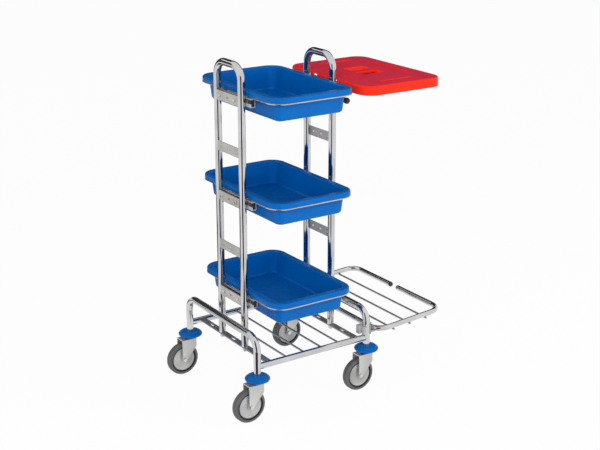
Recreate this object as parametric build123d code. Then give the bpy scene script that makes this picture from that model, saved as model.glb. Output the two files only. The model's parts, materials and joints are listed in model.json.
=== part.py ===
from build123d import *
import math
import os

# A housekeeping trolley: two tube hoops on four casters, two tall uprights that carry three lift-out
# trays, a lidded bag ring on the right upright and a fold-up wire platform below it.
# All sizes are in millimetres. X runs from the tray end to the bag end, Y from front to rear, Z up.
# While it is built, X = 0 is midway between the two hoops and Z = 0 is the floor.

# Tube stock of the hoops and uprights, and of the rails between the hoops
TUBE_D = 21.0
TUBE_WALL = 1.5
RAIL_D = 19.0
RAIL_WALL = 1.5

# Clearances
RUN_GAP = 0.06  # radial play where one piece turns on another
FIT_GAP = 0.05  # radial play of a plug in its bore and of a screw in its thread
BOLT_GAP = 0.25  # radial play of a bolt in a drilled hole
REST_GAP = 0.3  # under a piece that rests on another and moves off it

# Casters, stacked up from the floor
WHEEL_D = 100.0
TYRE_W = 22.0
TYRE_DEPTH = 14.0
TYRE_ROUND = 6.0
BEAD_DEPTH = 3.5
BEAD_W = 18.0
HUB_W = 19.0
HUB_ROUND = 1.5
HUB_BOSS_D = 21.0
HUB_BOSS_W = 29.4
AXLE_D = 8.0
AXLE_HEAD_D = 12.0
AXLE_HEAD_H = 3.0
CASTER_TRAIL = 30.0
FORK_HEADROOM = 12.0
FORK_CROWN_T = 3.0
FORK_LEAD = 11.0  # crown ahead of the swivel line
FORK_TAIL = 37.5  # crown behind the swivel line
FORK_SHOULDER_H = 27.0
FORK_PLATE_T = 2.5
FORK_FOOT_R = 7.5
FORK_ROUND = 3.0
STEM_D = 10.0
STEM_HEAD_D = 17.0
STEM_HEAD_H = 3.0
STEM_REACH = 34.0
SEAL_D = 30.0
SEAL_H = 7.0
BUMPER_D = 72.0
BUMPER_H = 16.0
BUMPER_RIM_H = 9.0
BUMPER_ROUND = 4.0
PLUG_LENGTH = 45.0

# Base frame
HOOP_SPACING = 382.0
HOOP_WIDTH = 389.0
HOOP_RISE = 108.5
HOOP_BEND_R = 42.0
RAIL_RISE = 24.0
STRIP_W = 20.0
STRIP_T = 4.0
STRIP_OVER_RAIL = 7.0  # strip top above the rails' centre line
SLOT_LENGTH = 24.0
SLOT_W = 8.0
SLOT_SPACING = 125.0
DECK_WIRE_D = 6.0
DECK_WIRE_COUNT = 4
DECK_WIRE_DROP = 3.0  # wire centre below the strip top

# Uprights, standing on collared pins in the strips
UPRIGHT_WIDTH = 129.0
UPRIGHT_INSET = 39.0  # from the hoops toward the middle
UPRIGHT_HEIGHT = 828.0
UPRIGHT_BEND_R = 40.0
RUNG_COUNT = 5
RUNG_RISE = 135.0  # first rung above the uprights' feet
RUNG_DROP = 106.6  # last rung below the uprights' top
RUNG_H = 28.0
RUNG_T = 3.0
RUNG_OUT = 6.0  # rung middle outside the plane of the legs
RUNG_HOLE_D = 7.0
RUNG_HOLE_SPACING = 39.0
FOOT_PIN_D = 13.0
FOOT_PIN_DROP = 17.0  # pin end below the strip top
FOOT_PIN_ROUND = 3.0
FOOT_COLLAR_H = 3.0
FOOT_SPIGOT_L = 30.0

# Tray carriers: a channel on every second rung of both uprights, and a wire ring on each pair
CHANNEL_LEG_GAP = 0.5
CHANNEL_W = 14.0
CHANNEL_H = 24.0
CHANNEL_RISE = 10.5  # channel top above the rung's middle
CHANNEL_WALL = 2.0
CHANNEL_LIP = 10.0
CHANNEL_LENGTH = 190.0
BLOCK_LEG_GAP = 6.0
END_PLUG_L = 12.0
RING_WIRE_D = 4.0
M6_D = 6.0
M6_HEAD_D = 11.0
M6_HEAD_H = 3.5
M6_HEAD_ROUND = 2.0
M6_NUT_AF = 10.0
M6_NUT_H = 5.0
M6_TAIL = 1.0

# Trays
TRAY_LENGTH = 422.0
TRAY_DEPTH = 70.0
TRAY_LEG_GAP = 4.5
TRAY_CHANNEL_GAP = 8.0
TRAY_WALL = 2.5
TRAY_LIP = 15.0
TRAY_CORNER_R = 47.0
TRAY_TAPER = 8.5  # each side leans in by this much at the floor
TRAY_FLOOR_R = 10.0
TRAY_RIM_ROUND = 6.0
TRAY_MOUTH_ROUND = 4.0

# Bag ring, its bar and its lid
LID_DROP = 81.0  # lid top below the uprights' top
LID_LENGTH = 280.0
LID_WIDTH = 408.0
LID_SKIRT = 27.0
LID_WALL = 3.0
LID_CORNER_R = 45.0
LID_EDGE_R = 7.0
LID_UPRIGHT_GAP = 8.5
HINGE_INSET = 21.0
HINGE_DROP = 20.0
BAG_RING_D = 10.0
BAG_RING_BEND_R = 35.0
BAG_RING_SKIRT_GAP = 4.0
EYE_WALL = 3.0
EYE_W = 18.0
EYE_SPACING = 220.0
EYE_MOUTH = 8.6
RIB_W = 18.0
RIB_T = 3.0
NOTCH_W = 16.0
BAG_BAR_D = 16.0
BAG_BAR_WALL = 1.5
BAG_BAR_LENGTH = 200.0
BAG_BAR_DROP = 36.0  # bar below the hinge line
BAG_PLATE_SPACING = 100.0
BAG_PLATE_T = 5.0
BAG_PLATE_W = 8.0
SADDLE_T = 4.0
SADDLE_W = 14.0
SADDLE_H = 14.0
KNOB_D = 18.0
KNOB_L = 12.0
KNOB_ROUND = 7.0
SPIGOT_L = 12.0

# Grip and raised lines on the lid
GRIP_LENGTH = 76.0
GRIP_WIDTH = 110.0
GRIP_DEPTH = 14.0
GRIP_SLOPE = 9.0
GRIP_CORNER_R = 7.0
GRIP_BAR_W = 24.0
GRIP_BAR_T = 5.0
LINE_H = 1.5
LINE_W = 6.0
LINE_ROUND = 1.0
LINE_EDGE_INSET = 44.0
LINE_SIDE_INSET = 52.0
LINE_SHARE = 0.41  # length of a line over the lid's own

# Fold-up platform and the snap clips that carry it
PLATFORM_D = 16.0
PLATFORM_WALL = 1.5
PLATFORM_REACH = 238.0  # pivot to outer bar, seen from above
PLATFORM_TILT = 4.0  # degrees, rising outward
PLATFORM_CORNER_R = 40.0
PLATFORM_LEG_GAP = 3.5
PLATFORM_ARM_GAP = 10.0
PLATFORM_GAP_FRONT = 14.0
PLATFORM_GAP_REAR = 27.0
PLATFORM_WIRE_D = 6.0
PLATFORM_WIRE_COUNT = 3
PLATFORM_WIRE_PITCH = 61.0
PLATFORM_WIRE_INSET = 3.0  # wires end short of the arms' outer side
PLATFORM_CAP_L = 6.0
PLATFORM_CAP_ROUND = 4.0
CLIP_WALL = 3.5
CLIP_H = 26.0
CLIP_MOUTH = 17.0  # opening of the collar that snaps on the leg
CLIP_RAIL_GAP = 0.5
CLIP_PIVOT_RISE = 15.0  # pivot above the clip's foot
CLIP_BEND_GAP = 1.0
CLIP_EAR_W = 11.0
CLIP_EAR_MOUTH = 14.2  # opening of the ear that the platform snaps in
CLIP_REST_L = 14.0
CLIP_REST_T = 5.0
CLIP_BACK_L = 21.0  # block behind the leg, from the leg's middle toward the trays

# Radii and heights that follow
TUBE_R = TUBE_D / 2
RAIL_R = RAIL_D / 2
BORE_R = TUBE_R - TUBE_WALL
WHEEL_R = WHEEL_D / 2
AXLE_R = AXLE_D / 2
STEM_R = STEM_D / 2
CROWN_Z = WHEEL_D + FORK_HEADROOM
SEAL_TOP_Z = CROWN_Z + FORK_CROWN_T + SEAL_H
FOOT_Z = SEAL_TOP_Z + BUMPER_H
RAIL_Z = FOOT_Z + RAIL_RISE
HOOP_BAR_Z = FOOT_Z + HOOP_RISE
DECK_Z = RAIL_Z + STRIP_OVER_RAIL
LEG_Z = DECK_Z + FOOT_COLLAR_H

# Places that follow, along X and Y
HOOP_X = HOOP_SPACING / 2
HOOP_Y = HOOP_WIDTH / 2
PLATFORM_R = PLATFORM_D / 2
PIVOT_X = HOOP_X + TUBE_R + PLATFORM_LEG_GAP + PLATFORM_R
PLATFORM_X = PIVOT_X + PLATFORM_REACH
ARM_Y = HOOP_Y + TUBE_R + PLATFORM_ARM_GAP + PLATFORM_R
EAR_HIGH_Y = ARM_Y - PLATFORM_CORNER_R - CLIP_BEND_GAP
EAR_LOW_Y = EAR_HIGH_Y - CLIP_EAR_W
UPRIGHT_X = HOOP_X - UPRIGHT_INSET
UPRIGHT_Y = UPRIGHT_WIDTH / 2
RUNG_X = UPRIGHT_X + RUNG_OUT
CHANNEL_OUT_X = UPRIGHT_X - TUBE_R - CHANNEL_LEG_GAP
CHANNEL_IN_X = CHANNEL_OUT_X - CHANNEL_W
RUNG_PITCH = (UPRIGHT_HEIGHT - RUNG_RISE - RUNG_DROP) / (RUNG_COUNT - 1)
RUNG_ZS = [LEG_Z + RUNG_RISE + RUNG_PITCH * k for k in range(RUNG_COUNT)]
TRAY_RUNGS = {"bottom": RUNG_ZS[0], "middle": RUNG_ZS[2], "top": RUNG_ZS[4]}

# Trays and rings
TRAY_HALF_X = UPRIGHT_X - TUBE_R - TRAY_LEG_GAP
TRAY_HALF_Y = TRAY_LENGTH / 2
TRAY_OVERHANG = TRAY_HALF_X - (CHANNEL_IN_X - TRAY_CHANNEL_GAP)
TRAY_RIM_RISE = CHANNEL_RISE + RING_WIRE_D + REST_GAP + TRAY_LIP  # rim top above the rung's middle

# Lid, hinge line and bag ring
LID_TOP_Z = LEG_Z + UPRIGHT_HEIGHT - LID_DROP
LID_BOTTOM_Z = LID_TOP_Z - LID_SKIRT
LID_ROOF_Z = LID_TOP_Z - LID_WALL
LID_IN_X = UPRIGHT_X + TUBE_R + LID_UPRIGHT_GAP
LID_OUT_X = LID_IN_X + LID_LENGTH
LID_MID_X = LID_IN_X + LID_LENGTH / 2
HINGE_X = LID_IN_X + HINGE_INSET
HINGE_Z = LID_TOP_Z - HINGE_DROP
BAG_RING_R = BAG_RING_D / 2
BAG_RING_OUT_X = LID_OUT_X - LID_WALL - BAG_RING_SKIRT_GAP - BAG_RING_R
BAG_RING_Y = LID_WIDTH / 2 - LID_WALL - BAG_RING_SKIRT_GAP - BAG_RING_R
BAG_BAR_R = BAG_BAR_D / 2
BAG_BAR_X = UPRIGHT_X + TUBE_R + SADDLE_T + BAG_BAR_R
BAG_BAR_Z = HINGE_Z - BAG_BAR_DROP

# Clips and platform height
CLIP_Z = RAIL_Z + RAIL_R + CLIP_RAIL_GAP
CLIP_TOP_Z = CLIP_Z + CLIP_H
PIVOT_Z = CLIP_Z + CLIP_PIVOT_RISE

# The finished part has its origin on the floor under the middle of its outline
LEFT_X = -HOOP_X - CASTER_TRAIL - WHEEL_R
RIGHT_X = max(PLATFORM_X + PLATFORM_R, LID_OUT_X)
CENTRE_X = (LEFT_X + RIGHT_X) / 2

SIDES = {"left": -1, "right": 1}
CORNERS = {
    "front_left": (-HOOP_X, -HOOP_Y),
    "rear_left": (-HOOP_X, HOOP_Y),
    "front_right": (HOOP_X, -HOOP_Y),
    "rear_right": (HOOP_X, HOOP_Y),
}


# Shared shapes
def save(name, *shapes):
    """Write the solids of one node, moved to the finished part's origin."""
    solids = [solid for shape in shapes for solid in shape.solids()]
    export_step(Pos(-CENTRE_X, 0, 0) * Compound(solids), f"parts/{name}.step")


def along(path, section):
    """Sweep a section, drawn about its own origin, along a path."""
    start = Plane(origin=path @ 0, z_dir=path % 0)
    return sweep(start * section, path=path)


def tube_section(radius, wall):
    return Circle(radius) - Circle(radius - wall)


def rod(radius, start, end):
    """A round bar from one point to another."""
    run = Vector(*end) - Vector(*start)
    return Plane(origin=start, z_dir=run) * extrude(Circle(radius), run.length)


def block(low, high):
    """A box between two opposite corners."""
    size = [b - a for a, b in zip(low, high)]
    return Pos(*low) * Box(*size, align=(Align.MIN, Align.MIN, Align.MIN))


def post(x, y, radius):
    """A cutter the size of a vertical tube, as tall as the whole part."""
    return rod(radius, (x, y, 0), (x, y, LEG_Z + UPRIGHT_HEIGHT))


def round_bolt(seat, direction, radius, length, head_d, head_h, head_round):
    """A bolt with a rounded head on its seat point and a shank along the direction."""
    shank = extrude(Circle(radius), length)
    head = extrude(Circle(head_d / 2), -head_h)
    head = fillet(head.edges().sort_by(Axis.Z)[0], head_round)
    return Plane(origin=seat, z_dir=direction) * (shank + head)


def round_plug(seat, direction, spigot_r, spigot_l, head_d, head_l, head_round):
    """An end plug: a spigot along the direction and a rounded head the other way."""
    return round_bolt(seat, direction, spigot_r, spigot_l, head_d, head_l, head_round)


# Casters
def tyre(x, y):
    """Rounded tread over a narrower bead that grips the hub."""
    seat_r = WHEEL_R - TYRE_DEPTH
    tread_depth = TYRE_DEPTH - BEAD_DEPTH
    tread = Pos(WHEEL_R - tread_depth / 2, 0) * Rectangle(tread_depth, TYRE_W)
    tread = fillet(tread.vertices().group_by(Axis.X)[-1], TYRE_ROUND)
    bead = Pos(seat_r + BEAD_DEPTH / 2, 0) * Rectangle(BEAD_DEPTH, BEAD_W)
    return Pos(x - CASTER_TRAIL, y, WHEEL_R) * revolve(tread + bead, Axis.Y)


def hub(x, y):
    """Wheel centre: a disc with rounded rims and a boss that turns on the axle."""
    disc_r = WHEEL_R - TYRE_DEPTH
    disc = Pos(disc_r / 2, 0) * Rectangle(disc_r, HUB_W)
    disc = fillet(disc.vertices().group_by(Axis.X)[-1], HUB_ROUND)
    boss = Pos(HUB_BOSS_D / 4, 0) * Rectangle(HUB_BOSS_D / 2, HUB_BOSS_W)
    bore_r = AXLE_R + RUN_GAP
    bore = Pos(bore_r / 2, 0) * Rectangle(bore_r, HUB_BOSS_W)
    return Pos(x - CASTER_TRAIL, y, WHEEL_R) * revolve(disc + boss - bore, Axis.Y)


def fork_plate_y():
    """Inner face of a fork plate, from the wheel's middle."""
    return HUB_BOSS_W / 2 + REST_GAP


def fork(x, y):
    """Pressed fork: a crown that turns on the stem and two plates that narrow down to the axle."""
    crown_top = CROWN_Z + FORK_CROWN_T
    half_y = fork_plate_y() + FORK_PLATE_T
    foot = Pos(-CASTER_TRAIL, WHEEL_R) * Circle(FORK_FOOT_R)
    shoulder_size = (FORK_TAIL + FORK_LEAD, FORK_SHOULDER_H)
    shoulder = Pos(-FORK_TAIL, crown_top - FORK_SHOULDER_H) * Rectangle(*shoulder_size, align=Align.MIN)
    outline = make_hull(foot.edges() + shoulder.edges())
    solid = extrude(Plane.XZ * outline, half_y, both=True)
    solid = fillet(solid.edges().filter_by(Axis.X).group_by(Axis.Z)[-1], FORK_ROUND)
    wheel_room = block((-WHEEL_D, -fork_plate_y(), 0), (WHEEL_D, fork_plate_y(), CROWN_Z))
    stem_hole = rod(STEM_R + RUN_GAP, (0, 0, CROWN_Z), (0, 0, crown_top))
    axle_hole = rod(AXLE_R + FIT_GAP, (-CASTER_TRAIL, -half_y, WHEEL_R), (-CASTER_TRAIL, half_y, WHEEL_R))
    return Pos(x, y, 0) * (solid - wheel_room - stem_hole - axle_hole)


def axle(x, y):
    """A riveted pin with a rounded head outside each fork plate."""
    half_y = fork_plate_y() + FORK_PLATE_T
    pin = extrude(Circle(AXLE_R), half_y, both=True)
    for end in (-1, 1):
        head = Pos(0, 0, end * half_y) * extrude(Circle(AXLE_HEAD_D / 2), end * AXLE_HEAD_H)
        outer = head.edges().sort_by(Axis.Z)[0 if end < 0 else -1]
        pin += fillet(outer, AXLE_HEAD_H / 2)
    return Plane(origin=(x - CASTER_TRAIL, y, WHEEL_R), z_dir=(0, 1, 0)) * pin


def stem(x, y):
    """Swivel pin: its head holds the fork up under the crown, its top is set in the leg plug."""
    head_top = CROWN_Z - REST_GAP
    pin = rod(STEM_R, (x, y, head_top), (x, y, FOOT_Z + STEM_REACH))
    return pin + rod(STEM_HEAD_D / 2, (x, y, head_top - STEM_HEAD_H), (x, y, head_top))


def seal(x, y):
    """Black ring that closes the swivel between the crown and the bumper."""
    bottom = (x, y, CROWN_Z + FORK_CROWN_T + REST_GAP)
    top = (x, y, SEAL_TOP_Z)
    return rod(SEAL_D / 2, bottom, top) - rod(STEM_R + FIT_GAP, bottom, top)


def bumper(x, y):
    """Round buffer above the fork: a rolled rim and a low dome up to the leg."""
    rim_r = BUMPER_D / 2
    seat_r = TUBE_R + FIT_GAP
    dome_z = BUMPER_H - BUMPER_RIM_H
    rim = Pos(rim_r / 2, BUMPER_RIM_H / 2) * Rectangle(rim_r, BUMPER_RIM_H)
    rim = fillet(rim.vertices().group_by(Axis.X)[-1], BUMPER_ROUND)
    shoulder = rim_r - BUMPER_ROUND
    dome = make_face(
        Line((0, BUMPER_RIM_H), (0, BUMPER_H))
        + Line((0, BUMPER_H), (seat_r, BUMPER_H))
        + EllipticalCenterArc((seat_r, BUMPER_RIM_H), shoulder - seat_r, dome_z, arc_size=90)
        + Line((shoulder, BUMPER_RIM_H), (0, BUMPER_RIM_H))
    )
    solid = revolve(Plane.XZ * (rim + dome), Axis.Z)
    return Pos(x, y, SEAL_TOP_Z) * (solid - rod(STEM_R + FIT_GAP, (0, 0, 0), (0, 0, BUMPER_H)))


def stem_plug(x, y):
    """Plug in the foot of a hoop leg, with the blind hole that takes the stem."""
    plug = rod(BORE_R - FIT_GAP, (x, y, FOOT_Z), (x, y, FOOT_Z + PLUG_LENGTH))
    return plug - rod(STEM_R + FIT_GAP, (x, y, FOOT_Z), (x, y, FOOT_Z + STEM_REACH))


# Base frame
def hoop(x):
    """One bent tube: a leg down to each caster and a bar across."""
    points = [(x, -HOOP_Y, FOOT_Z), (x, -HOOP_Y, HOOP_BAR_Z), (x, HOOP_Y, HOOP_BAR_Z), (x, HOOP_Y, FOOT_Z)]
    return along(FilletPolyline(*points, radius=HOOP_BEND_R), tube_section(TUBE_R, TUBE_WALL))


def rail(y):
    """Tube between the hoops, its ends shaped to the legs."""
    path = Line((-HOOP_X, y, RAIL_Z), (HOOP_X, y, RAIL_Z))
    return along(path, tube_section(RAIL_R, RAIL_WALL)) - post(-HOOP_X, y, TUBE_R) - post(HOOP_X, y, TUBE_R)


def rail_cutters():
    """Cutters the size of both rails."""
    return [rod(RAIL_R, (-HOOP_X, y, RAIL_Z), (HOOP_X, y, RAIL_Z)) for y in (-HOOP_Y, HOOP_Y)]


def cross_strip(x):
    """Flat bar between the rails that carries one upright, with three slots and two pin holes."""
    strip = block((x - STRIP_W / 2, -HOOP_Y, DECK_Z - STRIP_T), (x + STRIP_W / 2, HOOP_Y, DECK_Z))
    for y in (-SLOT_SPACING, 0, SLOT_SPACING):
        slot = Pos(x, y, DECK_Z) * SlotOverall(SLOT_LENGTH, SLOT_W, rotation=90)
        strip -= extrude(slot, -STRIP_T)
    for y in (-UPRIGHT_Y, UPRIGHT_Y):
        strip -= rod(FOOT_PIN_D / 2 + FIT_GAP, (x, y, DECK_Z - STRIP_T), (x, y, DECK_Z))
    for cutter in rail_cutters():
        strip -= cutter
    return strip


def deck_wires():
    """Wires of the lower deck, spread evenly between the strips."""
    wires = []
    z = DECK_Z - DECK_WIRE_DROP
    step = 2 * UPRIGHT_X / (DECK_WIRE_COUNT + 1)
    for i in range(DECK_WIRE_COUNT):
        x = -UPRIGHT_X + step * (i + 1)
        wire = rod(DECK_WIRE_D / 2, (x, -HOOP_Y, z), (x, HOOP_Y, z))
        for cutter in rail_cutters():
            wire -= cutter
        wires.append(wire)
    return wires


# Uprights
def bag_bolt_hole(y):
    """Cutter for the bolt that ties the bag bar to one leg."""
    radius = M6_D / 2 + BOLT_GAP
    return rod(radius, (UPRIGHT_X - TUBE_D, y, BAG_BAR_Z), (BAG_BAR_X + BAG_BAR_D, y, BAG_BAR_Z))


def upright(side):
    """One tall bent tube, on its two feet."""
    x = side * UPRIGHT_X
    top = LEG_Z + UPRIGHT_HEIGHT - TUBE_R
    points = [(x, -UPRIGHT_Y, LEG_Z), (x, -UPRIGHT_Y, top), (x, UPRIGHT_Y, top), (x, UPRIGHT_Y, LEG_Z)]
    frame = along(FilletPolyline(*points, radius=UPRIGHT_BEND_R), tube_section(TUBE_R, TUBE_WALL))
    if side > 0:
        frame = frame - bag_bolt_hole(-UPRIGHT_Y) - bag_bolt_hole(UPRIGHT_Y)
    return frame


def rungs():
    """Flat bars across the uprights, each with three holes."""
    bars = []
    for side in SIDES.values():
        x = side * RUNG_X
        for z in RUNG_ZS:
            low = (x - RUNG_T / 2, -UPRIGHT_Y, z - RUNG_H / 2)
            bar = block(low, (x + RUNG_T / 2, UPRIGHT_Y, z + RUNG_H / 2))
            for y in (-RUNG_HOLE_SPACING, 0, RUNG_HOLE_SPACING):
                bar -= rod(RUNG_HOLE_D / 2, (x - RUNG_T, y, z), (x + RUNG_T, y, z))
            for y in (-UPRIGHT_Y, UPRIGHT_Y):
                bar -= post(side * UPRIGHT_X, y, TUBE_R)
            bars.append(bar)
    return bars


def upright_feet():
    """Places of the four feet of the uprights."""
    return [(side * UPRIGHT_X, y) for side in SIDES.values() for y in (-UPRIGHT_Y, UPRIGHT_Y)]


def foot_pin(x, y):
    """Turned pin through the strip, with a collar under the leg and a spigot inside it."""
    pin = rod(FOOT_PIN_D / 2, (x, y, DECK_Z - FOOT_PIN_DROP), (x, y, DECK_Z))
    pin = fillet(pin.edges().group_by(Axis.Z)[0], FOOT_PIN_ROUND)
    collar = rod(TUBE_R, (x, y, DECK_Z), (x, y, LEG_Z))
    return pin + collar + rod(BORE_R - FIT_GAP, (x, y, LEG_Z), (x, y, LEG_Z + FOOT_SPIGOT_L))


# Tray carriers
def carrier_places():
    """Side and rung height of every carrier channel."""
    return [(side, z) for side in SIDES.values() for z in TRAY_RUNGS.values()]


def carrier_bolt_ys():
    return (-RUNG_HOLE_SPACING, RUNG_HOLE_SPACING)


def carrier_profile(outline, side, z, length, y):
    """Extrude a profile drawn as distance from the trolley's middle plane and height over the rung."""
    front = Plane(origin=(0, y - length / 2, z), x_dir=(side, 0, 0), z_dir=(0, -side, 0))
    return extrude(front * outline, -side * length)


def channel_outline():
    """Web on the tray's side, a top flange, a bottom flange and a short outer lip."""
    bottom = CHANNEL_RISE - CHANNEL_H
    mid_x = CHANNEL_OUT_X - CHANNEL_W / 2
    outer = Pos(mid_x, bottom + CHANNEL_H / 2) * Rectangle(CHANNEL_W, CHANNEL_H)
    return outer - filler_outline(CHANNEL_OUT_X)


def filler_outline(outer_x):
    """The room inside a channel, with the part over its lip drawn out to a given distance."""
    low = CHANNEL_RISE - CHANNEL_H + CHANNEL_WALL
    high = CHANNEL_RISE - CHANNEL_WALL
    lip_top = CHANNEL_RISE - CHANNEL_H + CHANNEL_LIP
    web_x = CHANNEL_IN_X + CHANNEL_WALL
    lip_x = CHANNEL_OUT_X - CHANNEL_WALL
    points = [(web_x, low), (lip_x, low), (lip_x, lip_top)]
    points += [(outer_x, lip_top), (outer_x, high), (web_x, high)]
    return make_face(Polyline(*points, close=True))


def carrier_holes(side, z):
    """Cutters for the two bolts of a channel."""
    radius = M6_D / 2 + BOLT_GAP
    return [rod(radius, (0, y, z), (side * RUNG_X, y, z)) for y in carrier_bolt_ys()]


def channel(side, z):
    bar = carrier_profile(channel_outline(), side, z, CHANNEL_LENGTH, 0)
    for hole in carrier_holes(side, z):
        bar -= hole
    return bar


def channel_block(side, z):
    """Plastic spacer that fills the channel's middle and reaches out between the legs to the rung."""
    length = UPRIGHT_WIDTH - TUBE_D - 2 * BLOCK_LEG_GAP
    spacer = carrier_profile(filler_outline(RUNG_X - RUNG_T / 2), side, z, length, 0)
    for hole in carrier_holes(side, z):
        spacer -= hole
    return spacer


def channel_end_plugs(side, z):
    """Black plugs that close both ends of a channel."""
    y = (CHANNEL_LENGTH - END_PLUG_L) / 2
    return [carrier_profile(filler_outline(CHANNEL_OUT_X), side, z, END_PLUG_L, end * y) for end in (-1, 1)]


def channel_bolts(side, z):
    """Bolts from outside the rung, through the spacer and the channel's web."""
    seat_x = RUNG_X + RUNG_T / 2
    length = seat_x - CHANNEL_IN_X + M6_NUT_H + M6_TAIL
    return [
        round_bolt((side * seat_x, y, z), (-side, 0, 0), M6_D / 2, length, M6_HEAD_D, M6_HEAD_H, M6_HEAD_ROUND)
        for y in carrier_bolt_ys()
    ]


def m6_nut(x, y, z, side):
    """Hexagon nut whose bearing face is at x and which stands towards the trolley's middle."""
    hexagon = RegularPolygon(M6_NUT_AF / 2, 6, major_radius=False)
    nut = extrude(hexagon - Circle(M6_D / 2 + FIT_GAP), M6_NUT_H)
    return Plane(origin=(side * x, y, z), z_dir=(-side, 0, 0)) * nut


def channel_nuts(side, z):
    return [m6_nut(CHANNEL_IN_X, y, z, side) for y in carrier_bolt_ys()]


def tray_ring(z):
    """Wire loop that lies on two channels and carries the tray's lip."""
    inset = TRAY_WALL / 2
    size_x = 2 * (TRAY_HALF_X - inset)
    size_y = 2 * (TRAY_HALF_Y - inset)
    loop = RectangleRounded(size_x, size_y, TRAY_CORNER_R - inset)
    path = (Pos(0, 0, z + CHANNEL_RISE + RING_WIRE_D / 2) * loop).wire()
    return along(path, Circle(RING_WIRE_D / 2))


# Trays
def tray_rectangle(inset, z):
    """The tray's outline, drawn in by an inset, at one height."""
    size_x = 2 * (TRAY_HALF_X - inset)
    size_y = 2 * (TRAY_HALF_Y - inset)
    return Pos(0, 0, z) * RectangleRounded(size_x, size_y, TRAY_CORNER_R - inset)


def tray_tub(inset, top, bottom, floor_round):
    """A tub that narrows towards its rounded floor."""
    tub = loft([tray_rectangle(inset, top), tray_rectangle(inset + TRAY_TAPER, bottom)])
    return fillet(tub.edges().group_by(Axis.Z)[0], floor_round)


def tray(z):
    """Moulded tray: a tapered tub with a wide rim and a turned-down lip."""
    top = z + TRAY_RIM_RISE
    bottom = top - TRAY_DEPTH
    rim = extrude(tray_rectangle(0, top), -TRAY_LIP)
    rim = fillet(rim.edges().group_by(Axis.Z)[-1], TRAY_RIM_ROUND)
    under_rim = extrude(tray_rectangle(TRAY_WALL, top - TRAY_WALL), -TRAY_LIP)
    under_rim = fillet(under_rim.edges().group_by(Axis.Z)[-1], TRAY_RIM_ROUND - TRAY_WALL)
    outside = tray_tub(TRAY_OVERHANG, top, bottom, TRAY_FLOOR_R)
    inside = tray_tub(TRAY_OVERHANG + TRAY_WALL, top, bottom + TRAY_WALL, TRAY_FLOOR_R - TRAY_WALL)
    shell = rim - under_rim + outside - inside
    mouth = shell.faces().sort_by(Axis.Z)[-1].inner_wires()[0]
    return fillet(mouth.edges(), TRAY_MOUTH_ROUND)


# Bag ring and bar
def bag_bar():
    """Cross tube behind the right upright."""
    half = BAG_BAR_LENGTH / 2
    path = Line((BAG_BAR_X, -half, BAG_BAR_Z), (BAG_BAR_X, half, BAG_BAR_Z))
    bar = along(path, tube_section(BAG_BAR_R, BAG_BAR_WALL))
    return bar - bag_bolt_hole(-UPRIGHT_Y) - bag_bolt_hole(UPRIGHT_Y)


def bag_bar_knobs():
    """Black knobs in both ends of the bar."""
    spigot_r = BAG_BAR_R - BAG_BAR_WALL - FIT_GAP
    seats = [(end, (BAG_BAR_X, end * BAG_BAR_LENGTH / 2, BAG_BAR_Z)) for end in (-1, 1)]
    sizes = (spigot_r, SPIGOT_L, KNOB_D, KNOB_L, KNOB_ROUND)
    return [round_plug(seat, (0, -end, 0), *sizes) for end, seat in seats]


def bag_bar_saddle(y):
    """Spacer shaped to the leg on one side and to the bar on the other."""
    low = (UPRIGHT_X, y - SADDLE_W / 2, BAG_BAR_Z - SADDLE_H / 2)
    saddle = block(low, (BAG_BAR_X, y + SADDLE_W / 2, BAG_BAR_Z + SADDLE_H / 2))
    half = BAG_BAR_LENGTH / 2
    bar = rod(BAG_BAR_R, (BAG_BAR_X, -half, BAG_BAR_Z), (BAG_BAR_X, half, BAG_BAR_Z))
    return saddle - post(UPRIGHT_X, y, TUBE_R) - bar - bag_bolt_hole(y)


def bag_bar_bolt(y):
    seat_x = BAG_BAR_X + BAG_BAR_R
    length = seat_x - (UPRIGHT_X - TUBE_R) + M6_NUT_H + M6_TAIL
    seat = (seat_x, y, BAG_BAR_Z)
    return round_bolt(seat, (-1, 0, 0), M6_D / 2, length, M6_HEAD_D, M6_HEAD_H, M6_HEAD_ROUND)


def bag_ring():
    """Closed rod that a bag hangs from; its inner side is the lid's hinge pin."""
    size_x = BAG_RING_OUT_X - HINGE_X
    loop = RectangleRounded(size_x, 2 * BAG_RING_Y, BAG_RING_BEND_R)
    path = (Pos(HINGE_X + size_x / 2, 0, HINGE_Z) * loop).wire()
    return along(path, Circle(BAG_RING_R))


def bag_plate(y):
    """Upright plate that joins the bag ring to its bar."""
    centres = [(BAG_BAR_X, BAG_BAR_Z), (HINGE_X, HINGE_Z)]
    ends = [Pos(*centre) * Circle(BAG_PLATE_W / 2) for centre in centres]
    outline = make_hull(ends[0].edges() + ends[1].edges())
    plate = Pos(0, y, 0) * extrude(Plane.XZ * outline, BAG_PLATE_T / 2, both=True)
    plate -= rod(BAG_BAR_R, (BAG_BAR_X, y - BAG_PLATE_T, BAG_BAR_Z), (BAG_BAR_X, y + BAG_PLATE_T, BAG_BAR_Z))
    return plate - rod(BAG_RING_R, (HINGE_X, y - BAG_PLATE_T, HINGE_Z), (HINGE_X, y + BAG_PLATE_T, HINGE_Z))


# Lid
def lid_rectangle(inset, z):
    size = (LID_LENGTH - 2 * inset, LID_WIDTH - 2 * inset)
    return Pos(LID_MID_X, 0, z) * RectangleRounded(*size, LID_CORNER_R - inset)


def lid_shell():
    """Shallow cap with rounded edges, open below."""
    outside = extrude(lid_rectangle(0, LID_BOTTOM_Z), LID_SKIRT)
    outside = fillet(outside.edges().group_by(Axis.Z)[-1], LID_EDGE_R)
    inside = extrude(lid_rectangle(LID_WALL, LID_BOTTOM_Z), LID_SKIRT - LID_WALL)
    inside = fillet(inside.edges().group_by(Axis.Z)[-1], LID_EDGE_R - LID_WALL)
    return outside - inside


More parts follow.
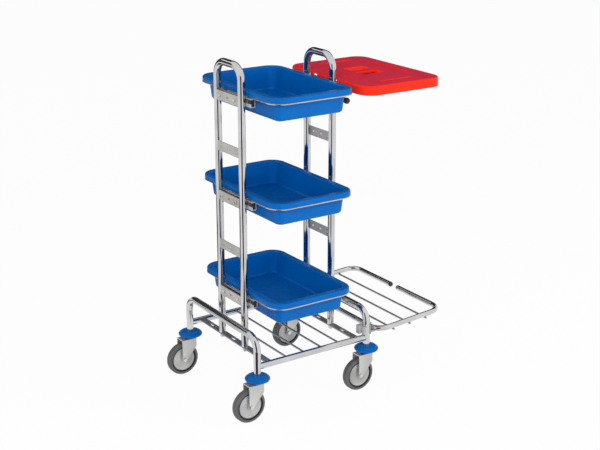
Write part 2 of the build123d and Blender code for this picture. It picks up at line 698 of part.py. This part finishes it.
def grip_pocket(margin):
    """The sloping hand recess, grown by a margin on its sides and floor."""
    size = (GRIP_LENGTH + 2 * margin, GRIP_WIDTH + 2 * margin)
    floor = (size[0] - 2 * GRIP_SLOPE, size[1] - 2 * GRIP_SLOPE)
    floor_z = LID_TOP_Z - GRIP_DEPTH - margin
    mouth = Pos(LID_MID_X, 0, LID_TOP_Z) * RectangleRounded(*size, GRIP_CORNER_R)
    base = Pos(LID_MID_X, 0, floor_z) * RectangleRounded(*floor, GRIP_CORNER_R)
    return loft([mouth, base])


def grip_bar():
    """Flush handle across the recess."""
    half_x = GRIP_LENGTH / 2 + LID_WALL
    low = (LID_MID_X - half_x, -GRIP_BAR_W / 2, LID_TOP_Z - GRIP_BAR_T)
    bar = block(low, (LID_MID_X + half_x, GRIP_BAR_W / 2, LID_TOP_Z))
    return bar & grip_pocket(LID_WALL)


def lid_line(x, y, length, turn):
    """Low raised line with round ends on the lid's top."""
    line = extrude(Pos(x, y, LID_TOP_Z) * SlotOverall(length, LINE_W, rotation=turn), LINE_H)
    return fillet(line.edges().group_by(Axis.Z)[-1], LINE_ROUND)


def lid_lines():
    """Four raised lines, one beside each edge of the lid."""
    across = LINE_SHARE * LID_WIDTH
    along_x = LINE_SHARE * LID_LENGTH
    side_y = LID_WIDTH / 2 - LINE_SIDE_INSET
    lines = [lid_line(LID_MID_X, y, along_x, 0) for y in (-side_y, side_y)]
    edge_xs = (LID_IN_X + LINE_EDGE_INSET, LID_OUT_X - LINE_EDGE_INSET)
    return lines + [lid_line(x, 0, across, 90) for x in edge_xs]


def hinge_eye(y):
    """Snap eye under the lid that turns on the ring's inner side."""
    outer_r = BAG_RING_R + RUN_GAP + EYE_WALL
    low, high = y - EYE_W / 2, y + EYE_W / 2
    eye = rod(outer_r, (HINGE_X, low, HINGE_Z), (HINGE_X, high, HINGE_Z))
    neck_top_z = LID_ROOF_Z + LID_WALL / 2
    return eye + block((HINGE_X - outer_r, low, HINGE_Z), (HINGE_X + outer_r, high, neck_top_z))


def hinge_bore(y):
    """Cutter for the eye's bore and for the mouth that snaps over the rod."""
    low, high = y - EYE_W, y + EYE_W
    bore = rod(BAG_RING_R + RUN_GAP, (HINGE_X, low, HINGE_Z), (HINGE_X, high, HINGE_Z))
    mouth_low = (HINGE_X - EYE_MOUTH / 2, low, HINGE_Z - BAG_RING_D - EYE_WALL)
    return bore + block(mouth_low, (HINGE_X + EYE_MOUTH / 2, high, HINGE_Z))


def rest_rib(y):
    """Rib that sets the closed lid down on the ring's outer side."""
    low = (BAG_RING_OUT_X - RIB_W / 2, y - RIB_T / 2, HINGE_Z + BAG_RING_R + REST_GAP)
    return block(low, (LID_OUT_X - LID_WALL / 2, y + RIB_T / 2, LID_ROOF_Z + LID_WALL / 2))


def plate_notch(y):
    """Cutter that lets the lid's inner skirt swing past a plate of the bag ring."""
    low = (LID_IN_X - LID_WALL, y - NOTCH_W / 2, LID_BOTTOM_Z - LID_WALL)
    return block(low, (LID_IN_X + LID_EDGE_R, y + NOTCH_W / 2, LID_ROOF_Z))


def lid():
    """Hinged lid with a hand grip, raised lines, two hinge eyes and two rest ribs."""
    cap = lid_shell() + grip_pocket(LID_WALL) - grip_pocket(0) + grip_bar()
    for line in lid_lines():
        cap += line
    for y in (-EYE_SPACING / 2, EYE_SPACING / 2):
        cap += hinge_eye(y)
        cap -= hinge_bore(y)
        cap += rest_rib(y)
    for y in (-BAG_PLATE_SPACING / 2, BAG_PLATE_SPACING / 2):
        cap -= plate_notch(y)
    return cap


# Platform, made level at its pivot's height and then tilted
def platform_length():
    return PLATFORM_REACH / math.cos(math.radians(PLATFORM_TILT))


def tilted(shape):
    """Turn a piece of the platform about the pivot until it rises outward."""
    return shape.rotate(Axis((PIVOT_X, 0, PIVOT_Z), (0, -1, 0)), PLATFORM_TILT)


def platform_ring():
    """Sprung tube ring with a gap in its outer side. Its inner bar is the pivot."""
    outer_x = PIVOT_X + platform_length()
    points = [
        (outer_x, PLATFORM_GAP_REAR, PIVOT_Z),
        (outer_x, ARM_Y, PIVOT_Z),
        (PIVOT_X, ARM_Y, PIVOT_Z),
        (PIVOT_X, -ARM_Y, PIVOT_Z),
        (outer_x, -ARM_Y, PIVOT_Z),
        (outer_x, -PLATFORM_GAP_FRONT, PIVOT_Z),
    ]
    path = FilletPolyline(*points, radius=PLATFORM_CORNER_R)
    return tilted(along(path, tube_section(PLATFORM_R, PLATFORM_WALL)))


def platform_wires():
    """Wires under the arms that carry the bag."""
    radius = PLATFORM_WIRE_D / 2
    half = ARM_Y + PLATFORM_R - PLATFORM_WIRE_INSET
    z = PIVOT_Z - PLATFORM_R - radius
    outer_x = PIVOT_X + platform_length()
    xs = [outer_x - PLATFORM_WIRE_PITCH * (i + 1) for i in range(PLATFORM_WIRE_COUNT)]
    return [tilted(rod(radius, (x, -half, z), (x, half, z))) for x in xs]


def platform_cap(y, way):
    """Black cap in an open end of the ring."""
    spigot_r = PLATFORM_R - PLATFORM_WALL - FIT_GAP
    place = (PIVOT_X + platform_length(), y, PIVOT_Z)
    cap = round_plug(place, (0, way, 0), spigot_r, SPIGOT_L, PLATFORM_D, PLATFORM_CAP_L, PLATFORM_CAP_ROUND)
    return tilted(cap)


# Clips of the platform on the right hoop, made for the rear leg and mirrored to the front
def clip_collar():
    """Open collar that snaps on the hoop's leg, with its mouth toward the end of the trolley."""
    collar_r = TUBE_R + CLIP_WALL
    collar = rod(collar_r, (HOOP_X, HOOP_Y, CLIP_Z), (HOOP_X, HOOP_Y, CLIP_TOP_Z))
    mouth_low = (HOOP_X - CLIP_MOUTH / 2, HOOP_Y, CLIP_Z)
    return collar - block(mouth_low, (HOOP_X + CLIP_MOUTH / 2, HOOP_Y + 2 * collar_r, CLIP_TOP_Z))


def clip_back():
    """Block behind the leg that joins the collar and the ear."""
    low = (HOOP_X - CLIP_BACK_L, EAR_LOW_Y, CLIP_Z)
    return block(low, (HOOP_X + TUBE_R, HOOP_Y - TUBE_R, CLIP_TOP_Z))


def clip_ear():
    """Snap ear beside the leg, which the platform's inner bar turns in."""
    bar_r = PLATFORM_R + RUN_GAP
    ear_r = bar_r + CLIP_WALL
    ear = rod(ear_r, (PIVOT_X, EAR_LOW_Y, PIVOT_Z), (PIVOT_X, EAR_HIGH_Y, PIVOT_Z))
    bridge = block((HOOP_X, EAR_LOW_Y, CLIP_Z), (PIVOT_X, EAR_HIGH_Y, CLIP_TOP_Z))
    bore = rod(bar_r, (PIVOT_X, EAR_LOW_Y, PIVOT_Z), (PIVOT_X, EAR_HIGH_Y, PIVOT_Z))
    mouth_low = (PIVOT_X, EAR_LOW_Y, PIVOT_Z - CLIP_EAR_MOUTH / 2)
    mouth = block(mouth_low, (PIVOT_X + 2 * ear_r, EAR_HIGH_Y, PIVOT_Z + CLIP_EAR_MOUTH / 2))
    return ear + bridge - bore - mouth


def clip_rest():
    """Tab under the bend of the platform's ring that stops it when it is down."""
    top_z = PIVOT_Z - PLATFORM_R - REST_GAP
    low = (HOOP_X, HOOP_Y - TUBE_R, top_z - CLIP_REST_T)
    return block(low, (PIVOT_X + PLATFORM_R, HOOP_Y - TUBE_R + CLIP_REST_L, top_z))


def platform_clip():
    return clip_collar() + clip_back() + clip_ear() + clip_rest() - post(HOOP_X, HOOP_Y, TUBE_R)


def both_legs(shape):
    return [mirror(shape, about=Plane.XZ), shape]


# Write every node
os.makedirs("parts", exist_ok=True)

for name, side in SIDES.items():
    save(f"base_hoop_{name}", hoop(side * HOOP_X))
    save(f"cross_strip_{name}", cross_strip(side * UPRIGHT_X))
    save(f"upright_{name}", upright(side))
save("front_rail", rail(-HOOP_Y))
save("rear_rail", rail(HOOP_Y))
save("deck_wires", *deck_wires())
save("rungs", *rungs())
save("foot_pins", *[foot_pin(x, y) for x, y in upright_feet()])

save("tray_channels", *[channel(side, z) for side, z in carrier_places()])
save("channel_blocks", *[channel_block(side, z) for side, z in carrier_places()])
save("channel_end_plugs", *[plug for side, z in carrier_places() for plug in channel_end_plugs(side, z)])
save("channel_bolts", *[bolt for side, z in carrier_places() for bolt in channel_bolts(side, z)])
save("channel_nuts", *[nut for side, z in carrier_places() for nut in channel_nuts(side, z)])
for name, z in TRAY_RUNGS.items():
    save(f"tray_ring_{name}", tray_ring(z))
    save(f"tray_{name}", tray(z))

save("bag_bar", bag_bar())
save("bag_bar_knobs", *bag_bar_knobs())
save("bag_bar_saddles", bag_bar_saddle(-UPRIGHT_Y), bag_bar_saddle(UPRIGHT_Y))
save("bag_bar_bolts", bag_bar_bolt(-UPRIGHT_Y), bag_bar_bolt(UPRIGHT_Y))
save("bag_bar_nuts", *[m6_nut(UPRIGHT_X - TUBE_R, y, BAG_BAR_Z, 1) for y in (-UPRIGHT_Y, UPRIGHT_Y)])
save("bag_ring", bag_ring())
save("bag_ring_plates", bag_plate(-BAG_PLATE_SPACING / 2), bag_plate(BAG_PLATE_SPACING / 2))
save("lid", lid())

save("platform_ring", platform_ring())
save("platform_wires", *platform_wires())
save("platform_caps", platform_cap(PLATFORM_GAP_REAR, 1), platform_cap(-PLATFORM_GAP_FRONT, -1))
save("platform_clips", *both_legs(platform_clip()))

for name, (x, y) in CORNERS.items():
    save(f"bumper_{name}", bumper(x, y))
    save(f"fork_{name}", fork(x, y))
    save(f"axle_{name}", axle(x, y))
    save(f"hub_{name}", hub(x, y))
    save(f"tyre_{name}", tyre(x, y))
save("caster_stems", *[stem(x, y) for x, y in CORNERS.values()])
save("caster_seals", *[seal(x, y) for x, y in CORNERS.values()])
save("stem_plugs", *[stem_plug(x, y) for x, y in CORNERS.values()])
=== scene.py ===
import bpy
import json
import math
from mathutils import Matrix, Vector


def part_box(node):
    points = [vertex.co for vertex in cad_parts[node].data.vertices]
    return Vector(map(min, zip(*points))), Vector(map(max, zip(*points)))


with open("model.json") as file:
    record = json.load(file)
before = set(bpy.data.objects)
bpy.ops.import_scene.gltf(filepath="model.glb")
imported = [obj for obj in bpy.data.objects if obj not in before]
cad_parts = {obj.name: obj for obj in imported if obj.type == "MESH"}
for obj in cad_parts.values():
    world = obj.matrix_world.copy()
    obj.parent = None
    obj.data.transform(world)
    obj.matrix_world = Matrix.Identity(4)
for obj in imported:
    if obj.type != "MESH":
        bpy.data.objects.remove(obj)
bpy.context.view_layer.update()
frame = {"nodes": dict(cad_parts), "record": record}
nodes = frame["nodes"]

# Driving values, in metres unless said otherwise
CORNERS = ("front_left", "rear_left", "front_right", "rear_right")
TYRE_BEAD_R = 0.0408  # the black ring beside the hub ends here
TYRE_BEAD_BLEND = 0.0004
LID_TOP_Z = 0.919
LID_LINE_RISE = 0.0003  # above this the lid's raised lines begin and get the painted highlight colour
PHOTO_W = 600  # pixels
CAMERA_TARGET = (-0.0365, -0.039, 0.4937)
CAMERA_AZIMUTH = -33.77  # degrees
CAMERA_ELEVATION = 18.27  # degrees
CAMERA_DISTANCE = 3.6665
CAMERA_FOCUS = 1249.6  # pixels
SENSOR_W = 36.0  # millimetres
FLOOR_SIZE = 40.0
FLOOR_GLOW = 0.95  # share of the floor that is plain white to the eye
CARD_LIFT = 0.003  # floor cards lie this far above the floor
WORLD_STRENGTH = 0.52


# Node helpers
def new_material(name):
    """An empty node material with its shader, ready to be wired."""
    mat = bpy.data.materials.new(name)
    mat.use_nodes = True
    tree = mat.node_tree
    shader = tree.nodes["Principled BSDF"]
    return mat, tree, shader


def object_point(tree, scale=(1.0, 1.0, 1.0)):
    """Object coordinates in metres, stretched by a scale."""
    coords = tree.nodes.new("ShaderNodeTexCoord")
    mapping = tree.nodes.new("ShaderNodeMapping")
    mapping.inputs["Scale"].default_value = scale
    tree.links.new(coords.outputs["Object"], mapping.inputs["Vector"])
    return mapping.outputs["Vector"]


def noise(tree, scale, detail=3.0, stretch=(1.0, 1.0, 1.0)):
    node = tree.nodes.new("ShaderNodeTexNoise")
    node.inputs["Scale"].default_value = scale
    node.inputs["Detail"].default_value = detail
    tree.links.new(object_point(tree, stretch), node.inputs["Vector"])
    return node.outputs["Fac"]


def ramp(tree, factor, low, high, start=0.0, end=1.0):
    """Turn a factor into a value between two numbers."""
    node = tree.nodes.new("ShaderNodeMapRange")
    node.inputs["From Min"].default_value = start
    node.inputs["From Max"].default_value = end
    node.inputs["To Min"].default_value = low
    node.inputs["To Max"].default_value = high
    tree.links.new(factor, node.inputs["Value"])
    return node.outputs["Result"]


def mix_colours(tree, factor, first, second):
    """Blend two colours; each is a tuple or a socket."""
    node = tree.nodes.new("ShaderNodeMix")
    node.data_type = "RGBA"
    tree.links.new(factor, node.inputs["Factor"])
    for socket, colour in ((node.inputs[6], first), (node.inputs[7], second)):
        if isinstance(colour, tuple):
            socket.default_value = (*colour, 1.0)
        else:
            tree.links.new(colour, socket)
    return node.outputs[2]


def maths(tree, operation, first, second):
    node = tree.nodes.new("ShaderNodeMath")
    node.operation = operation
    for socket, value in zip(node.inputs, (first, second)):
        if isinstance(value, (int, float)):
            socket.default_value = value
        else:
            tree.links.new(value, socket)
    return node.outputs["Value"]


def bump(tree, shader, height, distance, strength=1.0):
    node = tree.nodes.new("ShaderNodeBump")
    node.inputs["Strength"].default_value = strength
    node.inputs["Distance"].default_value = distance
    tree.links.new(height, node.inputs["Height"])
    tree.links.new(node.outputs["Normal"], shader.inputs["Normal"])


def scratches(tree, scale, stretch, cut):
    """Thin broken lines: a stretched noise kept only near its middle value."""
    lines = noise(tree, scale, 2.0, stretch)
    away = maths(tree, "ABSOLUTE", maths(tree, "SUBTRACT", lines, 0.5), 0.0)
    return ramp(tree, away, 1.0, 0.0, 0.0, cut)


# Materials, each with the depth of its fine grain
METAL_GRAIN = 0.00002
PLASTIC_GRAIN = 0.00003
LID_GRAIN = 0.00004
RUBBER_GRAIN = 0.00006
LID_SHINE = 0.12
LID_TOP_COLOUR = (0.78, 0.022, 0.062)
LID_DEEP_COLOUR = (0.71, 0.019, 0.055)
# Painted highlight: the lighter, warmer red given to the lid's sides, rounded edges and raised lines,
# standing in for the light they catch
LID_PAINTED_HIGHLIGHT_COLOUR = (0.90, 0.026, 0.007)


def plated_metal(name, bright, dark, rough, stretch, metallic):
    """Plated steel: cloudy tone, smudged gloss, faint rub lines and fine grain."""
    mat, tree, shader = new_material(name)
    shader.inputs["Metallic"].default_value = metallic
    cloud = ramp(tree, noise(tree, 18.0, 4.0), 0.0, 1.0, 0.35, 0.7)
    speck = ramp(tree, noise(tree, 900.0, 2.0), 0.0, 0.35, 0.62, 0.75)
    tone = maths(tree, "MAXIMUM", cloud, speck)
    tree.links.new(mix_colours(tree, tone, bright, dark), shader.inputs["Base Color"])
    smudge = noise(tree, 32.0, 3.0)
    lines = scratches(tree, 260.0, stretch, 0.02)
    polish = ramp(tree, smudge, rough[0], rough[1], 0.3, 0.7)
    gloss = maths(tree, "ADD", polish, maths(tree, "MULTIPLY", lines, 0.05))
    tree.links.new(gloss, shader.inputs["Roughness"])
    bump(tree, shader, noise(tree, 700.0, 3.0, stretch), METAL_GRAIN)
    return mat


def moulded_plastic(name, colour, deep, rough, shine):
    """Moulded plastic: slight clouding of the colour, scuffs and a fine skin."""
    mat, tree, shader = new_material(name)
    cloud = ramp(tree, noise(tree, 9.0, 3.0), 0.0, 1.0, 0.3, 0.7)
    tree.links.new(mix_colours(tree, cloud, colour, deep), shader.inputs["Base Color"])
    scuffs = scratches(tree, 60.0, (1.0, 4.0, 1.5), 0.012)
    haze = ramp(tree, noise(tree, 40.0, 4.0), rough[0], rough[1], 0.3, 0.7)
    gloss = maths(tree, "ADD", haze, maths(tree, "MULTIPLY", scuffs, 0.12))
    tree.links.new(gloss, shader.inputs["Roughness"])
    shader.inputs["Specular IOR Level"].default_value = shine
    bump(tree, shader, noise(tree, 1500.0, 2.0), PLASTIC_GRAIN)
    return mat


def lid_plastic_painted_highlight(line_z):
    """Red plastic, satin and deeper on the flat top; raised lines and rounded edges get a lighter, warmer
    painted highlight colour, and rounded edges are glossier.
    """
    mat, tree, shader = new_material("red_lid")
    split = tree.nodes.new("ShaderNodeSeparateXYZ")
    coords = tree.nodes.new("ShaderNodeTexCoord")
    tree.links.new(coords.outputs["Normal"], split.inputs["Vector"])
    # Face direction: faces turned away from straight up get the painted highlight colour, upward faces
    # keep the darker top red
    upward = ramp(tree, split.outputs["Z"], 0.0, 1.0, 0.75, 0.98)
    cloud = ramp(tree, noise(tree, 14.0, 3.0), 0.0, 1.0, 0.3, 0.7)
    top = mix_colours(tree, cloud, LID_TOP_COLOUR, LID_DEEP_COLOUR)
    place = tree.nodes.new("ShaderNodeSeparateXYZ")
    tree.links.new(object_point(tree), place.inputs["Vector"])
    # Painted highlight on the raised lines, standing in for their lit walls
    raised = maths(tree, "GREATER_THAN", place.outputs["Z"], line_z)
    top = mix_colours(tree, raised, top, LID_PAINTED_HIGHLIGHT_COLOUR)
    # Painted highlight on the sides and rounded edges, chosen by face direction
    tree.links.new(mix_colours(tree, upward, LID_PAINTED_HIGHLIGHT_COLOUR, top), shader.inputs["Base Color"])
    shader.inputs["Specular IOR Level"].default_value = LID_SHINE
    haze = ramp(tree, noise(tree, 70.0, 4.0), -0.04, 0.04, 0.3, 0.7)
    satin = ramp(tree, upward, 0.22, 0.42)
    scuffs = scratches(tree, 45.0, (1.0, 3.0, 1.0), 0.012)
    gloss = maths(tree, "ADD", maths(tree, "ADD", haze, satin), maths(tree, "MULTIPLY", scuffs, 0.1))
    tree.links.new(gloss, shader.inputs["Roughness"])
    bump(tree, shader, noise(tree, 1800.0, 2.0), LID_GRAIN)
    return mat


def tyre_rubber(name, centre):
    """Grey rubber with a black ring beside the hub, dusty on the tread."""
    mat, tree, shader = new_material(name)
    shift = tree.nodes.new("ShaderNodeVectorMath")
    shift.operation = "SUBTRACT"
    shift.inputs[1].default_value = centre
    tree.links.new(object_point(tree), shift.inputs[0])
    flat = tree.nodes.new("ShaderNodeVectorMath")
    flat.operation = "MULTIPLY"
    flat.inputs[1].default_value = (1.0, 0.0, 1.0)
    tree.links.new(shift.outputs["Vector"], flat.inputs[0])
    length = tree.nodes.new("ShaderNodeVectorMath")
    length.operation = "LENGTH"
    tree.links.new(flat.outputs["Vector"], length.inputs[0])
    radius = length.outputs["Value"]
    outside = ramp(tree, radius, 0.0, 1.0, TYRE_BEAD_R, TYRE_BEAD_R + TYRE_BEAD_BLEND)
    dust = ramp(tree, noise(tree, 120.0, 4.0), 0.0, 1.0, 0.35, 0.7)
    rubber = mix_colours(tree, dust, (0.085, 0.085, 0.09), (0.115, 0.113, 0.11))
    tree.links.new(mix_colours(tree, outside, (0.012, 0.012, 0.012), rubber), shader.inputs["Base Color"])
    tree.links.new(ramp(tree, dust, 0.5, 0.7), shader.inputs["Roughness"])
    bump(tree, shader, noise(tree, 1400.0, 3.0), RUBBER_GRAIN)
    return mat


ALONG_Z = (1.0, 1.0, 0.08)
ALONG_Y = (1.0, 0.08, 1.0)


def grey(value):
    return (value, value, value)


# Each metal: bright tone, dark tone, least and most roughness, way of the grain, metallic share
METALS = {
    "chrome_tube": ((0.64, 0.64, 0.65), (0.52, 0.52, 0.53), (0.03, 0.09), ALONG_Z, 1.0),
    "chrome_wire": ((0.62, 0.62, 0.63), (0.50, 0.50, 0.51), (0.12, 0.20), ALONG_Y, 1.0),
    "zinc_flat": ((0.60, 0.58, 0.55), (0.46, 0.45, 0.42), (0.38, 0.50), ALONG_Y, 0.45),
    "dull_steel": (grey(0.34), grey(0.24), (0.30, 0.42), ALONG_Y, 0.6),
    "steel_channel": (grey(0.70), grey(0.58), (0.30, 0.40), ALONG_Y, 0.45),
    "bright_steel": (grey(0.72), grey(0.60), (0.15, 0.25), ALONG_Z, 1.0),
    "zinc_fork": ((0.62, 0.62, 0.60), (0.46, 0.46, 0.45), (0.30, 0.42), ALONG_Z, 0.7),
    "grey_hub": (grey(0.51), grey(0.31), (0.30, 0.42), ALONG_Z, 0.5),
}
# Each plastic: colour, deeper colour, least and most roughness, strength of the shine
PLASTICS = {
    "clip_grey": (grey(0.50), grey(0.41), (0.30, 0.42), 0.5),
    "blue_tray": ((0.0, 0.126, 0.45), (0.0, 0.112, 0.415), (0.20, 0.30), 0.12),
    "blue_bumper": ((0.0, 0.118, 0.43), (0.0, 0.104, 0.385), (0.18, 0.28), 0.12),
    "black_plastic": (grey(0.012), grey(0.020), (0.30, 0.45), 0.5),
}
materials = {name: plated_metal(name, *looks) for name, looks in METALS.items()}
materials.update({name: moulded_plastic(name, *looks) for name, looks in PLASTICS.items()})
materials["red_lid"] = lid_plastic_painted_highlight(LID_TOP_Z + LID_LINE_RISE)
slots = {row["node"]: row["material_slot"] for row in frame["record"]["subparts"]}


def paint(node, mat):
    """Give a CAD node its material in every slot."""
    data = nodes[node].data
    for index in range(max(1, len(data.materials))):
        if index < len(data.materials):
            data.materials[index] = mat
        else:
            data.materials.append(mat)


for node, slot in slots.items():
    if slot in materials:
        paint(node, materials[slot])
for corner in CORNERS:
    low, high = (Vector(point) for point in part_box(f"tyre_{corner}"))
    paint(f"tyre_{corner}", tyre_rubber(f"grey_tyre_{corner}", tuple((low + high) / 2)))


# Stage
def floor_material():
    """White floor that keeps a soft shadow."""
    mat = bpy.data.materials.new("white_floor")
    mat.use_nodes = True
    tree = mat.node_tree
    tree.nodes.clear()
    output = tree.nodes.new("ShaderNodeOutputMaterial")
    diffuse = tree.nodes.new("ShaderNodeBsdfDiffuse")
    diffuse.inputs["Color"].default_value = (0.9, 0.9, 0.9, 1.0)
    glow = tree.nodes.new("ShaderNodeEmission")
    mix = tree.nodes.new("ShaderNodeMixShader")
    path = tree.nodes.new("ShaderNodeLightPath")
    seen = maths(tree, "ADD", path.outputs["Is Camera Ray"], path.outputs["Is Glossy Ray"])
    seen = maths(tree, "ADD", seen, path.outputs["Is Transmission Ray"])
    tree.links.new(maths(tree, "MULTIPLY", seen, FLOOR_GLOW), mix.inputs["Fac"])
    tree.links.new(diffuse.outputs["BSDF"], mix.inputs[1])
    tree.links.new(glow.outputs["Emission"], mix.inputs[2])
    tree.links.new(mix.outputs["Shader"], output.inputs["Surface"])
    return mat


def add_plane(name, width, height, location, facing, mat):
    """A flat panel whose front looks along a direction."""
    x, y = width / 2, height / 2
    mesh = bpy.data.meshes.new(name)
    mesh.from_pydata([(-x, -y, 0), (x, -y, 0), (x, y, 0), (-x, y, 0)], [], [(0, 1, 2, 3)])
    mesh.materials.append(mat)
    obj = bpy.data.objects.new(name, mesh)
    bpy.context.collection.objects.link(obj)
    obj.location = location
    obj.rotation_euler = Vector(facing).to_track_quat("Z", "Y").to_euler()
    return obj


def toward(turn, reach, height):
    """A place round the trolley, turned by so many degrees from the camera's own heading."""
    heading = math.radians(CAMERA_AZIMUTH + turn)
    return (math.sin(heading) * reach, -math.cos(heading) * reach, height)


CARD_BLACK, _, card_shader = new_material("dark_card")
card_shader.inputs["Base Color"].default_value = (*grey(0.02), 1.0)


def dark_card(name, width, height, location, facing):
    """A black studio card that only shows in reflections."""
    card = add_plane(name, width, height, location, facing, CARD_BLACK)
    card.visible_camera = False
    card.visible_diffuse = False
    card.visible_transmission = False
    card.visible_shadow = False


UP = (0, 0, 1)
TO_FRONT = (0, -1, 0)
add_plane("floor", FLOOR_SIZE, FLOOR_SIZE, (0, 0, 0), UP, floor_material())
dark_card("card_by_camera", 0.75, 1.4, location=toward(-12, 1.3, 0.7), facing=toward(168, 1.0, 0.0))
dark_card("card_before", 0.6, 0.8, location=toward(-12, 0.9, CARD_LIFT), facing=UP)
dark_card("card_behind", 5.0, 1.2, location=toward(180, 1.7, CARD_LIFT), facing=UP)
dark_card("card_rear", 6.0, 1.5, location=(0.8, 2.4, 1.3), facing=TO_FRONT)
dark_card("card_above", 5.0, 1.6, location=toward(180, 2.6, 2.6), facing=toward(0, 1.0, -0.8))


def world_light(strength):
    """Even light from all round, with a background that is white to the eye and in reflections."""
    world = bpy.data.worlds.new("studio")
    bpy.context.scene.world = world
    world.use_nodes = True
    tree = world.node_tree
    background = tree.nodes["Background"]
    background.inputs["Color"].default_value = (1.0, 1.0, 1.0, 1.0)
    path = tree.nodes.new("ShaderNodeLightPath")
    seen = maths(tree, "ADD", path.outputs["Is Camera Ray"], path.outputs["Is Glossy Ray"])
    seen = maths(tree, "MINIMUM", maths(tree, "ADD", seen, path.outputs["Is Transmission Ray"]), 1.0)
    tree.links.new(ramp(tree, seen, strength, 1.0), background.inputs["Strength"])


def area_light(name, location, size, power):
    """A soft box aimed at the middle of the trolley."""
    data = bpy.data.lights.new(name, "AREA")
    data.size = size
    data.energy = power
    lamp = bpy.data.objects.new(name, data)
    bpy.context.collection.objects.link(lamp)
    lamp.location = location
    lamp.visible_glossy = False
    lamp.rotation_euler = (Vector(CAMERA_TARGET) - Vector(location)).to_track_quat("-Z", "Y").to_euler()


world_light(WORLD_STRENGTH)
area_light("key", location=(-2.4, -3.0, 2.1), size=2.2, power=96.0)
area_light("fill", location=(2.6, -3.0, 1.8), size=2.4, power=56.0)


# Camera
def add_camera():
    azimuth = math.radians(CAMERA_AZIMUTH)
    elevation = math.radians(CAMERA_ELEVATION)
    away = Vector((math.sin(azimuth) * math.cos(elevation), -math.cos(azimuth) * math.cos(elevation),
                   math.sin(elevation)))
    data = bpy.data.cameras.new("camera")
    data.sensor_width = SENSOR_W
    data.lens = CAMERA_FOCUS * SENSOR_W / PHOTO_W
    camera = bpy.data.objects.new("camera", data)
    bpy.context.collection.objects.link(camera)
    camera.location = Vector(CAMERA_TARGET) + away * CAMERA_DISTANCE
    camera.rotation_euler = (-away).to_track_quat("-Z", "Y").to_euler()
    bpy.context.scene.camera = camera


add_camera()
bpy.context.scene.view_settings.view_transform = "Standard"
